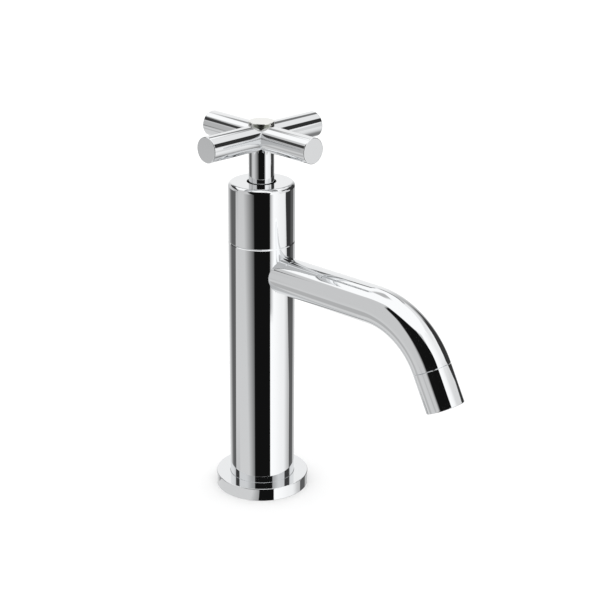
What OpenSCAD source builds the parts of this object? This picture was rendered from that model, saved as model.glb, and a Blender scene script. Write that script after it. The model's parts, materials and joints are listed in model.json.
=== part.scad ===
// Basin pillar tap: one supply, a quarter-turn ceramic headwork, a four-armed cross handle
// and a fixed tube spout that turns down into its outlet collar.
// Origin: centre of the flange's underside, on the deck. +Z is up, the spout points along -Y.
// All lengths are in millimetres, all angles in degrees.

/* [Column] */
// Outer diameter of the column and of the bonnet above it
column_d = 32; // [31:0.5:36]
// Height of the seam between the column and the bonnet
seam_z = 128.5; // [127:0.5:133]
// Height of the bonnet, from the seam to its flat top
bonnet_h = 29.3; // [29:0.1:33]
// Rounding of the bonnet's top edge
bonnet_edge_r = 2.2; // [0.4:0.1:2.5]
// Diameter of the base flange
flange_d = 45.8; // [44:0.2:60]
// Height of the base flange
flange_h = 6.4; // [5:0.2:12]

/* [Spout] */
// Height of the spout tube's axis
spout_z = 114.2; // [113:0.2:116]
// Outer diameter of the spout tube and of its outlet collar
spout_d = 18; // [17:0.2:19]
// Wall of the spout tube
spout_wall = 1.5; // [1.2:0.1:1.8]
// Length of the spout's straight run, from the column's axis
spout_run = 71; // [60:0.5:140]
// Radius of the spout's bend, at the tube's axis
bend_r = 39; // [30:0.2:60]
// Angle that the spout turns down
bend_angle = 62.8; // [40:0.1:85]
// Length of the outlet collar
collar_len = 18.7; // [16:0.1:25]

/* [Handle] */
// Height of the cross arms' axis
arm_z = 179.4; // [178:0.2:182]
// Diameter of an arm
arm_d = 12.4; // [12:0.1:14]
// Length of an arm, from the column's axis to its flat end
arm_len = 34.5; // [26:0.5:45]
// Diameter of the handle's neck
neck_d = 12.24; // [12:0.02:13]
// How far the index cap stands above the arms
cap_rise = 1.4; // [0.5:0.1:4]
// Turn of the closed handle away from the spout's line
handle_rest = -2.5; // [-10:0.5:10]
// Travel of the handle from closed to open
handle_travel = 90; // [80:1:100]

/* [Inlet] */
// Thickness of the deck that the tap is clamped to
deck_t = 15; // [5:1:22]
// How far the inlet tail reaches below the deck's top
tail_len = 50; // [48:1:90]
// Major diameter of the G1/2 thread
thread_d = 20.955; // [20.955]
// Pitch of the G1/2 thread
thread_pitch = 1.814; // [1.814]

/* [Hidden] */
$fn = 96;

// Finishes
CHROME = [0.80, 0.81, 0.82];
BRASS = [0.80, 0.66, 0.36];
STEEL = [0.66, 0.67, 0.69];
RUBBER = [0.12, 0.12, 0.13];
CERAMIC = [0.92, 0.90, 0.86];
NYLON = [0.90, 0.90, 0.88];

// Radii of the main pieces, and a gap between pieces that slide into each other
column_r = column_d / 2;
flange_r = flange_d / 2;
spout_r = spout_d / 2;
spout_bore_r = spout_r - spout_wall;
arm_r = arm_d / 2;
neck_r = neck_d / 2;
thread_r = thread_d / 2;
fit_gap = 0.05;
weld = 0.01;

// Column: a lower water chamber, a valve seat, and an upper chamber that holds the headwork
chamber_r = 12;
seat_z = seam_z - 27.5;
seat_web = 5;
seat_bore_r = 5.5;
upper_chamber_r = 11;
headwork_bore_r = thread_r + fit_gap;
upper_chamber_top_z = seam_z - 4.5;
spigot_top_z = seam_z + 5.5;
spigot_r = column_r - 2;
seam_chamfer = 0.4;

// Flange: the column stands on a ledge inside it, and a gasket fills a groove below it
ledge_z = 2.5;
ledge_r = 14.2;
flange_edge_r = 0.35;
gasket_h = 1.2;
gasket_in_r = 17.6;
gasket_out_r = flange_r - 1.5;

// Bonnet
bonnet_top_z = seam_z + bonnet_h;
bonnet_bore_r = spigot_r + fit_gap;
bonnet_plate = 4.5;
bonnet_hole_r = 7;
bonnet_ring_z = seam_z + 2.5;
bonnet_ring_r = 0.55;

// Headwork: discs in a cage at the bottom, a thread, a hexagon and a neck for the spindle
disc_t = 4;
disc_gap = 0.05;
fixed_disc_z = seat_z + 3;
moving_disc_z = fixed_disc_z + disc_t + disc_gap;
cage_r = 9.2;
cage_bore_r = 7.6;
cage_foot_z = seat_z + 0.4;
driver_z = moving_disc_z + disc_t + disc_gap;
driver_h = 6.6;
driver_r = 7.2;
driver_w = 5;
tang_depth = 2.5;
tang_in_r = 5.9;
lug_z = driver_z + driver_h + 0.5;
lug_h = 2.6;
lug_angle = 40;
lug_clearance = 3;
stop_z = lug_z - 0.3;
cage_top_z = lug_z + lug_h + 0.3;
stop_bore_r = 5.2;
window_w = 9;
window_z = moving_disc_z + 1;
window_h = 9.5;
gasket_t = 0.6;
hex_z = spigot_top_z + gasket_t;
hex_af = 24;
hex_h = 7;
gland_r = 8;
gland_top_z = hex_z + hex_h + 10.4;
stem_r = 4;
stem_bore_r = stem_r + 0.08;
stem_ring_z = [gland_top_z - 18, gland_top_z - 12];
stem_ring_r = 0.55;
stem_groove_h = 1.4;

// Spindle's upper end: circlip, then a splined end that carries the handle
friction_t = 0.6;
circlip_z = gland_top_z + friction_t + 0.15;
circlip_t = 0.8;
circlip_r = 5.6;
circlip_groove_r = 3.4;
spline_z = circlip_z + circlip_t + 0.9;
spline_r = 3.9;
spline_teeth = 20;
spline_depth = 0.4;
spline_gap = 0.08;
hub_web_z = arm_z - 9.4;
hub_web = 2;
screw_r = 2;
screw_len = 12;
screw_head_r = 3.7;
screw_head_h = 2.6;
screw_socket_af = 2.5;

// Handle and index cap
neck_foot_z = bonnet_top_z - 3.3;
hub_bore_r = 4.2;
cap_r = 6.1;
cap_seat_z = arm_z - 0.4;
cap_top_z = arm_z + arm_r + cap_rise;
cap_edge_r = 0.35;
cap_stem_r = 4;
cap_stem_len = 3.9;
cap_ring_r = 0.48;
arm_edge_r = 0.45;

// Spout: the tube is let into a counterbore in the column and held on a screwed-in nipple
port_floor = 13.4;
port_r = spout_r + 0.02;
nipple_thread_r = 6.5;
nipple_in = 10.4;
nipple_washer_t = 0.5;
nipple_end = 34;
nipple_bore_r = 4.8;
spout_ring_y = 29;
spout_ring_r = 0.6;
grub_y = 21;
grub_r = 1.5;
spout_end_y = spout_run + bend_r * sin(bend_angle);
spout_end_z = spout_z - bend_r * (1 - cos(bend_angle));

// Outlet collar, along its own axis from the seam with the spout tube
collar_spigot = 4;
collar_spigot_r = spout_bore_r - 0.45;
collar_inlet_r = 5.6;
collar_shelf = 3;
collar_bore_r = spout_bore_r + 0.25;
collar_edge_r = 0.3;
washer_t = 1.5;
insert_r = collar_bore_r - fit_gap;
insert_len = collar_len - collar_shelf - washer_t - 0.6;
insert_skin = 1;
insert_plate = 1.6;
jet_count = 18;
jet_r = 0.45;
grid_pitch = 1.9;
grid_wall = 0.5;
grid_h = 3;
strainer_t = 0.5;

// Inlet tail and the clamping parts below the deck
tail_bore_r = 6;
tail_shoulder_r = ledge_r - 0.3;
tail_plug_r = chamber_r - fit_gap;
tail_plug_top = 15.5;
tail_ring_z = 13.5;
tail_ring_r = 0.58;
thread_depth = 1.16;
inlet_len = 18;
inlet_relief = 1.6;
tail_chamfer = 1;
washer_bore_r = thread_r + 0.2;
washer_r = 20;
rubber_washer_t = 2;
clamp_washer_t = 2;
nut_af = 30;
nut_h = 8;

// A cylinder standing on z = 0 with its top edge rounded
module round_topped(r, h, edge) {
    rotate_extrude()
        union() {
            square([r - edge, h]);
            square([r, h - edge]);
            translate([r - edge, h - edge])
                intersection() {
                    circle(edge);
                    square(edge);
                }
        }
}

// A tube standing on z = 0
module tube(r, bore_r, h) {
    rotate_extrude()
        translate([bore_r, 0])
            square([r - bore_r, h]);
}

// A wedge of a tube, from angle a over the angle span, standing on z = 0
module tube_sector(r, bore_r, h, a, span) {
    rotate([0, 0, a])
        rotate_extrude(angle = span)
            translate([bore_r, 0])
                square([r - bore_r, h]);
}

// A rubber ring of round section about the Z axis
module o_ring(centre_r, section_r) {
    rotate_extrude()
        translate([centre_r, 0])
            circle(section_r, $fn = 32);
}

// Half outline of a threaded shaft: crests at r, count grooves from z upwards
function thread_outline(r, depth, pitch, z, count) = [
    for (i = [0 : count - 1])
        each [
            [r, z + i * pitch + 0.1 * pitch],
            [r - depth, z + i * pitch + 0.45 * pitch],
            [r - depth, z + i * pitch + 0.55 * pitch],
            [r, z + i * pitch + 0.9 * pitch]
        ]
];

// A threaded shaft with a bore, from z0 to z1
module threaded_tube(r, bore_r, depth, pitch, z0, z1) {
    count = floor((z1 - z0) / pitch);
    rotate_extrude()
        polygon(concat(
            [[bore_r, z0], [r, z0]],
            thread_outline(r, depth, pitch, z0, count),
            [[r, z1], [bore_r, z1]]
        ));
}

// Children turned so that their +Z runs out of the spout, from the seam above the collar
module at_outlet() {
    translate([0, -spout_end_y, spout_end_z])
        rotate([90 + bend_angle, 0, 0])
            children();
}

// Children turned so that their +Z runs along the spout's straight run, from the column's axis
module at_spout_root() {
    translate([0, 0, spout_z])
        rotate([90, 0, 0])
            children();
}

// Children repeated at the four arms of the closed handle
module at_arms() {
    for (i = [0 : 3])
        rotate([0, 0, handle_rest + 90 * i])
            translate([0, 0, arm_z])
                rotate([90, 0, 0])
                    children();
}

// Round escutcheon that the column stands in; its underside lies on the deck
module base_flange() {
    color(CHROME)
        difference() {
            round_topped(flange_r, flange_h, flange_edge_r);
            translate([0, 0, -1])
                cylinder(r = ledge_r, h = flange_h + 2);
            translate([0, 0, ledge_z])
                cylinder(r = column_r + 0.03, h = flange_h);
            translate([0, 0, -1])
                tube(gasket_out_r, gasket_in_r, gasket_h + 1);
        }
}

// Flat sealing ring in the flange's groove
module base_gasket() {
    color(RUBBER)
        tube(gasket_out_r - 0.05, gasket_in_r + 0.05, gasket_h);
}

// Column: outer tube, valve seat, spigot for the bonnet, counterbored port for the spout
module body() {
    color(CHROME)
        difference() {
            rotate_extrude()
                polygon([
                    [seat_bore_r, seat_z - seat_web],
                    [chamber_r, seat_z - seat_web],
                    [chamber_r, ledge_z],
                    [column_r, ledge_z],
                    [column_r, seam_z - seam_chamfer],
                    [column_r - seam_chamfer, seam_z],
                    [spigot_r, seam_z],
                    [spigot_r, bonnet_ring_z - 0.85],
                    [spigot_r - 1.1, bonnet_ring_z - 0.85],
                    [spigot_r - 1.1, bonnet_ring_z + 0.85],
                    [spigot_r, bonnet_ring_z + 0.85],
                    [spigot_r, spigot_top_z],
                    [headwork_bore_r, spigot_top_z],
                    [headwork_bore_r, upper_chamber_top_z],
                    [upper_chamber_r, upper_chamber_top_z],
                    [upper_chamber_r, seat_z],
                    [seat_bore_r, seat_z]
                ]);
            at_spout_root() {
                cylinder(r = nipple_thread_r + fit_gap, h = column_r + 1);
                translate([0, 0, port_floor])
                    cylinder(r = port_r, h = column_r);
            }
        }
}

// Upper shell, pushed onto the column's spigot
module bonnet() {
    color(CHROME)
        translate([0, 0, seam_z])
            difference() {
                round_topped(column_r, bonnet_h, bonnet_edge_r);
                translate([0, 0, -1])
                    cylinder(r = bonnet_bore_r, h = bonnet_h - bonnet_plate + 1);
                cylinder(r = bonnet_hole_r, h = bonnet_h + 1);
                translate([0, 0, -weld])
                    difference() {
                        cylinder(r = column_r + 1, h = seam_chamfer);
                        cylinder(r1 = column_r - seam_chamfer, r2 = column_r, h = seam_chamfer);
                    }
            }
}

// Ring that grips the bonnet on the spigot
module bonnet_o_ring() {
    color(RUBBER)
        translate([0, 0, bonnet_ring_z])
            o_ring(bonnet_bore_r - bonnet_ring_r - 0.03, bonnet_ring_r);
}

// Brass cartridge body: cage with two windows, thread, hexagon and gland
module headwork_body() {
    color(BRASS)
        difference() {
            union() {
                translate([0, 0, cage_foot_z])
                    cylinder(r = cage_r, h = upper_chamber_top_z - cage_foot_z + weld);
                threaded_tube(
                    thread_r, stem_r, thread_depth, thread_pitch,
                    upper_chamber_top_z, hex_z + weld
                );
                translate([0, 0, hex_z])
                    cylinder(r = hex_af / 2 / cos(30), h = hex_h, $fn = 6);
                translate([0, 0, hex_z + hex_h - weld])
                    cylinder(r = gland_r, h = gland_top_z - hex_z - hex_h + weld);
            }
            translate([0, 0, cage_foot_z - 1])
                cylinder(r = cage_bore_r, h = stop_z - cage_foot_z + 1);
            translate([0, 0, stop_z - weld])
                cylinder(r = stop_bore_r, h = cage_top_z - stop_z + weld);
            translate([0, 0, stop_z - weld])
                tube_sector(
                    cage_bore_r, stop_bore_r - 1, cage_top_z - stop_z + weld,
                    -lug_angle / 2 - lug_clearance,
                    handle_travel + lug_angle + 2 * lug_clearance
                );
            translate([0, 0, cage_foot_z])
                cylinder(r = stem_bore_r, h = gland_top_z - cage_foot_z + 1);
            translate([-window_w / 2, -cage_r - 1, window_z])
                cube([window_w, 2 * cage_r + 2, window_h]);
        }
}

// Fibre ring under the headwork's hexagon
module headwork_gasket() {
    color(RUBBER)
        translate([0, 0, spigot_top_z])
            tube(spigot_r - 0.8, thread_r + 0.1, gasket_t);
}

// Lip ring between the column's seat and the fixed disc
module seat_seal() {
    color(RUBBER)
        translate([0, 0, seat_z])
            tube(cage_bore_r - 0.1, seat_bore_r + 0.1, fixed_disc_z - seat_z);
}

// Ceramic disc with two opposite sector ports, its ports starting at angle a
module port_disc(r, a) {
    difference() {
        cylinder(r = r, h = disc_t);
        for (side = [0, 180])
            translate([0, 0, -1])
                tube_sector(5.4, 1.6, disc_t + 2, a + side, 80);
    }
}

// Lower ceramic disc, held still in the cage
module fixed_disc() {
    color(CERAMIC)
        translate([0, 0, fixed_disc_z])
            port_disc(cage_bore_r - fit_gap, 50);
}

// Upper ceramic disc, turned by the spindle's driver through two notches
module moving_disc() {
    color(CERAMIC)
        translate([0, 0, moving_disc_z])
            difference() {
                port_disc(driver_r, -40);
                translate([0, 0, disc_t - tang_depth])
                    intersection() {
                        tube(driver_r + 1, tang_in_r - 0.1, tang_depth + 1);
                        translate([-driver_r - 1, -driver_w / 2 - 0.1, 0])
                            cube([2 * driver_r + 2, driver_w + 0.2, tang_depth + 1]);
                    }
            }
}

// Low-friction ring between the gland and the circlip
module friction_washer() {
    color(NYLON)
        translate([0, 0, gland_top_z])
            tube(circlip_r + 0.6, stem_bore_r, friction_t);
}

// Outline of the spindle's splined end, grown by gap
module spline_outline(gap) {
    polygon([
        for (i = [0 : 2 * spline_teeth - 1])
            let (r = spline_r + gap - (i % 2) * spline_depth)
                [r * cos(180 * i / spline_teeth), r * sin(180 * i / spline_teeth)]
    ]);
}

// Spindle: driver with two tangs, stop lug, two ring grooves, circlip groove, splined end
module spindle() {
    color(BRASS)
        difference() {
            union() {
                intersection() {
                    translate([0, 0, driver_z])
                        cylinder(r = driver_r, h = driver_h);
                    translate([-driver_r, -driver_w / 2, driver_z])
                        cube([2 * driver_r, driver_w, driver_h]);
                }
                intersection() {
                    translate([0, 0, driver_z - tang_depth + 0.6])
                        tube(driver_r, tang_in_r, tang_depth);
                    translate([-driver_r, -driver_w / 2, driver_z - tang_depth])
                        cube([2 * driver_r, driver_w, tang_depth + 1]);
                }
                translate([0, 0, driver_z])
                    cylinder(r = stem_r, h = spline_z - driver_z + weld);
                translate([0, 0, lug_z])
                    tube_sector(driver_r, stem_r - 0.5, lug_h, -lug_angle / 2, lug_angle);
                translate([0, 0, spline_z])
                    linear_extrude(hub_web_z - 0.2 - spline_z)
                        spline_outline(0);
            }
            for (z = stem_ring_z)
                translate([0, 0, z - stem_groove_h / 2])
                    tube(stem_r + 1, stem_r - 1.1, stem_groove_h);
            translate([0, 0, circlip_z - 0.05])
                tube(stem_r + 1, circlip_groove_r, circlip_t + 0.1);
            translate([0, 0, hub_web_z + hub_web - screw_len - 1])
                cylinder(r = screw_r + 0.03, h = screw_len);
        }
}

// Two sealing rings on the spindle
module spindle_o_rings() {
    color(RUBBER)
        for (z = stem_ring_z)
            translate([0, 0, z])
                o_ring(stem_r + 0.03 - stem_ring_r, stem_ring_r);
}

// Open spring ring that keeps the spindle in the gland
module spindle_circlip() {
    color(STEEL)
        translate([0, 0, circlip_z])
            tube_sector(circlip_r, circlip_groove_r + 0.03, circlip_t, 200, 320);
}

// Cross handle: four flat-ended arms, a neck that reaches into the bonnet, a recess for the cap
module cross_handle() {
    color(CHROME)
        difference() {
            union() {
                at_arms()
                    round_topped(arm_r, arm_len, arm_edge_r);
                translate([0, 0, neck_foot_z])
                    cylinder(r = neck_r, h = arm_z - neck_foot_z);
            }
            translate([0, 0, cap_seat_z])
                cylinder(r = cap_r + 0.02, h = 2 * arm_r);
            translate([0, 0, hub_web_z + hub_web])
                cylinder(r = hub_bore_r, h = arm_r + 10);
            translate([0, 0, hub_web_z - 1])
                cylinder(r = screw_r + 0.2, h = hub_web + 2);
            translate([0, 0, neck_foot_z - 1])
                linear_extrude(hub_web_z - neck_foot_z + 1)
                    spline_outline(spline_gap);
        }
}

// Plain round plug that covers the handle screw
module index_cap() {
    color(CHROME)
        difference() {
            union() {
                translate([0, 0, cap_seat_z])
                    round_topped(cap_r, cap_top_z - cap_seat_z, cap_edge_r);
                translate([0, 0, cap_seat_z - cap_stem_len])
                    cylinder(r = cap_stem_r, h = cap_stem_len + weld);
            }
            translate([0, 0, cap_seat_z - cap_stem_len / 2 - 0.8])
                tube(cap_stem_r + 1, cap_stem_r - 0.8, 1.6);
        }
}

// Ring that holds the cap's stem in the hub
module cap_o_ring() {
    color(RUBBER)
        translate([0, 0, cap_seat_z - cap_stem_len / 2])
            o_ring(hub_bore_r - 0.03 - cap_ring_r, cap_ring_r);
}

// Cap screw that holds the handle on the spindle
module handle_screw() {
    color(STEEL)
        translate([0, 0, hub_web_z + hub_web])
            difference() {
                union() {
                    round_topped(screw_head_r, screw_head_h, 0.3);
                    translate([0, 0, -screw_len])
                        cylinder(r = screw_r, h = screw_len + weld);
                }
                translate([0, 0, screw_head_h - 1.4])
                    cylinder(r = screw_socket_af / 2 / cos(30), h = 2, $fn = 6);
            }
}

// Bent spout tube, from the column's counterbore to the collar's seam
module spout_tube() {
    color(CHROME)
        difference() {
            union() {
                at_spout_root()
                    translate([0, 0, port_floor])
                        tube(spout_r, spout_bore_r, spout_run - port_floor);
                translate([0, -spout_run, spout_z - bend_r])
                    rotate([180, 0, 0])
                        rotate([0, 90, 0])
                            rotate_extrude(angle = bend_angle)
                                translate([bend_r, 0])
                                    difference() {
                                        circle(spout_r);
                                        circle(spout_bore_r);
                                    }
            }
            translate([0, -grub_y, spout_z - spout_r - 1])
                cylinder(r = grub_r + 0.02, h = spout_wall + 2);
        }
}

// Brass nipple: screwed into the column, with a shoulder and a sealed stub for the tube
module spout_nipple() {
    stub_r = spout_bore_r - fit_gap;
    washer_end = port_floor + nipple_washer_t;
    color(BRASS)
        at_spout_root()
            difference() {
                union() {
                    translate([0, 0, nipple_in])
                        cylinder(r = nipple_thread_r, h = washer_end - nipple_in + weld);
                    translate([0, 0, washer_end])
                        cylinder(r = stub_r, h = nipple_end - washer_end);
                }
                cylinder(r = nipple_bore_r, h = nipple_end + 1);
                translate([0, 0, spout_ring_y - 0.9])
                    tube(stub_r + 1, stub_r - 1.2, 1.8);
                translate([0, 0, grub_y - grub_r - 0.3])
                    tube(stub_r + 1, stub_r - 1, 2 * grub_r + 0.6);
            }
}

// Thin ring between the nipple's shoulder and the column
module nipple_washer() {
    color(NYLON)
        at_spout_root()
            translate([0, 0, port_floor])
                tube(spout_bore_r - 0.1, nipple_thread_r + 0.1, nipple_washer_t);
}

// Ring that seals the spout tube on the nipple
module spout_o_ring() {
    color(RUBBER)
        at_spout_root()
            translate([0, 0, spout_ring_y])
                o_ring(spout_bore_r - 0.02 - spout_ring_r, spout_ring_r);
}

// Socket grub screw through the underside of the tube, into the nipple's groove
module spout_grub_screw() {
    socket_af = 1.5;
    color(STEEL)
        translate([0, -grub_y, spout_z - spout_r + 0.25])
            difference() {
                cylinder(r = grub_r, h = spout_wall + 0.75);
                translate([0, 0, -1])
                    cylinder(r = socket_af / 2 / cos(30), h = 1 + 1.1, $fn = 6);
            }
}

// Outlet collar: the outer sleeve below the spout's seam, with a spigot inside the tube
module aerator_housing() {
    color(CHROME)
        at_outlet()
            difference() {
                union() {
                    rotate_extrude()
                        polygon([
                            [0, 0],
                            [spout_r - seam_chamfer, 0],
                            [spout_r, seam_chamfer],
                            [spout_r, collar_len - collar_edge_r],
                            [spout_r - collar_edge_r, collar_len],
                            [0, collar_len]
                        ]);
                    translate([0, 0, -collar_spigot])
                        cylinder(r = collar_spigot_r, h = collar_spigot + weld);
                }
                translate([0, 0, -collar_spigot - 1])
                    cylinder(r = collar_inlet_r, h = collar_len);
                translate([0, 0, collar_shelf])
                    cylinder(r = collar_bore_r, h = collar_len);
            }
}

// Flat ring that seals the insert against the housing's shelf
module aerator_washer() {
    color(RUBBER)
        at_outlet()
            translate([0, 0, collar_shelf])
                tube(insert_r, collar_inlet_r, washer_t);
}

// Domed wire screen above the insert, drawn as a thin shell with a flat rim
module aerator_strainer() {
    dome_r = 8;
    rim_r = collar_inlet_r - 0.3;
    sink = sqrt(dome_r * dome_r - rim_r * rim_r);
    color(STEEL)
        at_outlet()
            translate([0, 0, collar_shelf + washer_t])
                intersection() {
                    translate([0, 0, sink])
                        difference() {
                            sphere(dome_r);
                            sphere(dome_r - strainer_t);
                        }
                    translate([0, 0, -dome_r])
                        cylinder(r = rim_r, h = dome_r);
                }
}

// Jet insert: skirt, jet plate at the top and a square grid at the mouth
module aerator_insert() {
    mouth_r = insert_r - insert_skin;
    cells = ceil(mouth_r / grid_pitch);
    color(NYLON)
        at_outlet()
            translate([0, 0, collar_shelf + washer_t]) {
                difference() {
                    cylinder(r = insert_r, h = insert_len);
                    translate([0, 0, insert_plate])
                        cylinder(r = mouth_r, h = insert_len);
                    for (i = [0 : jet_count - 1])
                        rotate([0, 0, i * 360 / jet_count])
                            translate([4.4, 0, -1])
                                cylinder(r = jet_r, h = insert_plate + 2, $fn = 24);
                }
                translate([0, 0, insert_len - grid_h - 0.4])
                    intersection() {
                        cylinder(r = mouth_r + 0.1, h = grid_h);
                        union()
                            for (i = [-cells : cells]) {
                                translate([i * grid_pitch - grid_wall / 2, -insert_r, 0])
                                    cube([grid_wall, 2 * insert_r, grid_h]);
                                translate([-insert_r, i * grid_pitch - grid_wall / 2, 0])
                                    cube([2 * insert_r, grid_wall, grid_h]);
                            }
                    }
            }
}

// Threaded tail: plug in the column, shoulder, clamping thread, supply thread at its end
module inlet_tail() {
    supply_top = -tail_len + tail_chamfer + inlet_len;
    clamp_foot = supply_top + inlet_relief;
    color(BRASS)
        difference() {
            union() {
                rotate_extrude()
                    polygon([
                        [0, -tail_len],
                        [thread_r - tail_chamfer, -tail_len],
                        [thread_r, -tail_len + tail_chamfer],
                        [thread_r, supply_top],
                        [thread_r - thread_depth, supply_top],
                        [thread_r - thread_depth, clamp_foot + weld],
                        [0, clamp_foot + weld]
                    ]);
                threaded_tube(
                    thread_r, tail_bore_r - 1, thread_depth, thread_pitch,
                    clamp_foot, 0.25
                );
                translate([0, 0, 0.2])
                    cylinder(r = tail_shoulder_r, h = ledge_z - 0.2);
                translate([0, 0, ledge_z - weld])
                    cylinder(r = tail_plug_r, h = tail_plug_top - ledge_z + weld);
            }
            translate([0, 0, tail_ring_z - 0.9])
                tube(chamber_r + 1, tail_plug_r - 1.16, 1.8);
            translate([0, 0, -tail_len - 1])
                cylinder(r = tail_bore_r, h = tail_len + tail_plug_top + 2);
        }
}

// Ring that seals the tail in the column
module tail_o_ring() {
    color(RUBBER)
        translate([0, 0, tail_ring_z])
            o_ring(chamber_r - 0.02 - tail_ring_r, tail_ring_r);
}

// Soft washer against the deck's underside
module rubber_washer() {
    color(RUBBER)
        translate([0, 0, -deck_t - rubber_washer_t])
            tube(washer_r, washer_bore_r, rubber_washer_t);
}

// Steel washer under the soft one
module clamp_washer() {
    color(STEEL)
        translate([0, 0, -deck_t - rubber_washer_t - clamp_washer_t])
            tube(washer_r, washer_bore_r, clamp_washer_t);
}

// Hexagonal nut that pulls the tap down onto the deck
module back_nut() {
    nut_z = -deck_t - rubber_washer_t - clamp_washer_t - nut_h;
    corner_r = nut_af / 2 / cos(30);
    color(BRASS)
        translate([0, 0, nut_z])
            difference() {
                intersection() {
                    cylinder(r = corner_r, h = nut_h, $fn = 6);
                    rotate_extrude()
                        polygon([
                            [0, 0],
                            [corner_r - 1.6, 0],
                            [corner_r + 0.2, 1.1],
                            [corner_r + 0.2, nut_h],
                            [0, nut_h]
                        ]);
                }
                translate([0, 0, -1])
                    cylinder(r = thread_r + 0.03, h = nut_h + 2);
            }
}

base_flange();
base_gasket();
body();
bonnet();
bonnet_o_ring();
headwork_body();
headwork_gasket();
seat_seal();
fixed_disc();
friction_washer();
spout_tube();
spout_nipple();
nipple_washer();
spout_o_ring();
spout_grub_screw();
aerator_housing();
aerator_washer();
aerator_strainer();
aerator_insert();
inlet_tail();
tail_o_ring();
rubber_washer();
clamp_washer();
back_nut();
cross_handle();
index_cap();
cap_o_ring();
handle_screw();
spindle();
spindle_o_rings();
spindle_circlip();
moving_disc();
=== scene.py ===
"""Looks of the basin pillar tap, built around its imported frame.

Each visible shell is built again with exact normals, so that the polished chrome reflects
cleanly. Shapes are in millimetres in the row frame: +Z is up and the spout points along -Y.
"""
import json
import math

import bpy
from mathutils import Matrix, Vector


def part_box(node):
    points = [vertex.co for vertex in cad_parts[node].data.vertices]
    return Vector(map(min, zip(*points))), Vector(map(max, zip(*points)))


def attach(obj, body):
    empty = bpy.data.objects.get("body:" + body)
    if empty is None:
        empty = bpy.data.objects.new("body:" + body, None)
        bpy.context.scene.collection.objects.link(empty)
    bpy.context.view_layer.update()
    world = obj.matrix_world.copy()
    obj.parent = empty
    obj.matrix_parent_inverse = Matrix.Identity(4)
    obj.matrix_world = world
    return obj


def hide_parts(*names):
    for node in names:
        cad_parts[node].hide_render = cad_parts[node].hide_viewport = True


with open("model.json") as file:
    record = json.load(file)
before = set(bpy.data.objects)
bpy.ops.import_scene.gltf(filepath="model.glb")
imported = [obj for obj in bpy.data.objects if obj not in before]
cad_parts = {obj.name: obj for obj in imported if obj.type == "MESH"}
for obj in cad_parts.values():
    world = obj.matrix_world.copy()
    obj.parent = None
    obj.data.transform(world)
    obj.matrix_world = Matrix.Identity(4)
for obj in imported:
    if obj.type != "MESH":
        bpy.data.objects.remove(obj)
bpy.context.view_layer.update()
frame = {"nodes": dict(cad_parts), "record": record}

MM = 0.001
QUARTER = math.radians(90)
SEGMENTS = 192           # round the column, flange and cap
TUBE_SEGMENTS = 128      # round the spout, its collar and the tail
ARC_STEPS = 6            # along a rounded edge
WELD_DIGITS = 5          # corners that agree to this many decimals are one
BAND = 2.0               # longest step along a shell


# ---------- sizes, from the frame

def box_mm(node):
    """Lowest and highest corner of a CAD node, in millimetres."""
    low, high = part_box(node)
    return low / MM, high / MM


FLANGE_HIGH = box_mm("base_flange")[1]
FLANGE_R = FLANGE_HIGH.x
FLANGE_TOP = FLANGE_HIGH.z
BODY_LOW, BODY_HIGH = box_mm("body")
COLUMN_R = BODY_HIGH.x
LEDGE_Z = BODY_LOW.z
SPIGOT_TOP = BODY_HIGH.z
BONNET_LOW, BONNET_HIGH = box_mm("bonnet")
SEAM_Z = BONNET_LOW.z
BONNET_TOP = BONNET_HIGH.z
TUBE_LOW, TUBE_HIGH = box_mm("spout_tube")
SPOUT_R = TUBE_HIGH.x
SPOUT_Z = TUBE_HIGH.z - SPOUT_R
PORT_Y = -TUBE_HIGH.y
CROSS_LOW, CROSS_HIGH = box_mm("cross_handle")
NECK_FOOT = CROSS_LOW.z
CAP_LOW, CAP_HIGH = box_mm("index_cap")
CAP_R = CAP_HIGH.x
CAP_TOP = CAP_HIGH.z
TAIL_LOW, TAIL_HIGH = box_mm("inlet_tail")
TAIL_SHOULDER_R = TAIL_HIGH.x
NUT_LOW, NUT_HIGH = box_mm("back_nut")
GASKET_LOW, GASKET_HIGH = box_mm("base_gasket")

# Column and its chambers
CHAMBER_R = 12.0
SEAT_WEB = 5.0
SEAT_BORE_R = 5.5
SEAT_Z = SEAM_Z - 27.5
UPPER_CHAMBER_R = 11.0
UPPER_CHAMBER_TOP = SEAM_Z - 4.5
HEADWORK_BORE_R = 10.53
SPIGOT_R = 14.0
SEAM_CHAMFER = 0.4
RING_GROOVE_Z = SEAM_Z + 2.5
RING_GROOVE_HALF = 0.85
RING_GROOVE_DEPTH = 1.1

# Flange and gasket
LEDGE_R = 14.2
FLANGE_EDGE = 0.35
LEDGE_BORE_R = COLUMN_R + 0.03
GASKET_IN_R = 17.6
GASKET_OUT_R = FLANGE_R - 1.5
FINE_EDGE = 0.15

# Bonnet
BONNET_BORE_R = SPIGOT_R + 0.05
BONNET_EDGE = 2.2
BONNET_PLATE = 4.5
BONNET_HOLE_R = 7.0
BONNET_FILLET = 0.5

# Spout and its collar
SPOUT_WALL = 1.5
SPOUT_BORE_R = SPOUT_R - SPOUT_WALL
BEND_R = 39.0
BEND_ANGLE = math.radians(62.8)
BEND_STEPS = 64
SPOUT_RUN = -TUBE_LOW.y - (BEND_R + SPOUT_R) * math.sin(BEND_ANGLE)
PORT_R = SPOUT_R + 0.02
NIPPLE_HOLE_R = 6.55
GRUB_Y = 21.0
GRUB_HOLE_R = 1.52
COLLAR_LEN = 18.7
COLLAR_SPIGOT = 4.0
COLLAR_SPIGOT_R = SPOUT_BORE_R - 0.45
COLLAR_INLET_R = 5.6
COLLAR_SHELF = 3.0
COLLAR_BORE_R = SPOUT_BORE_R + 0.25
COLLAR_EDGE = 0.4

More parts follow.
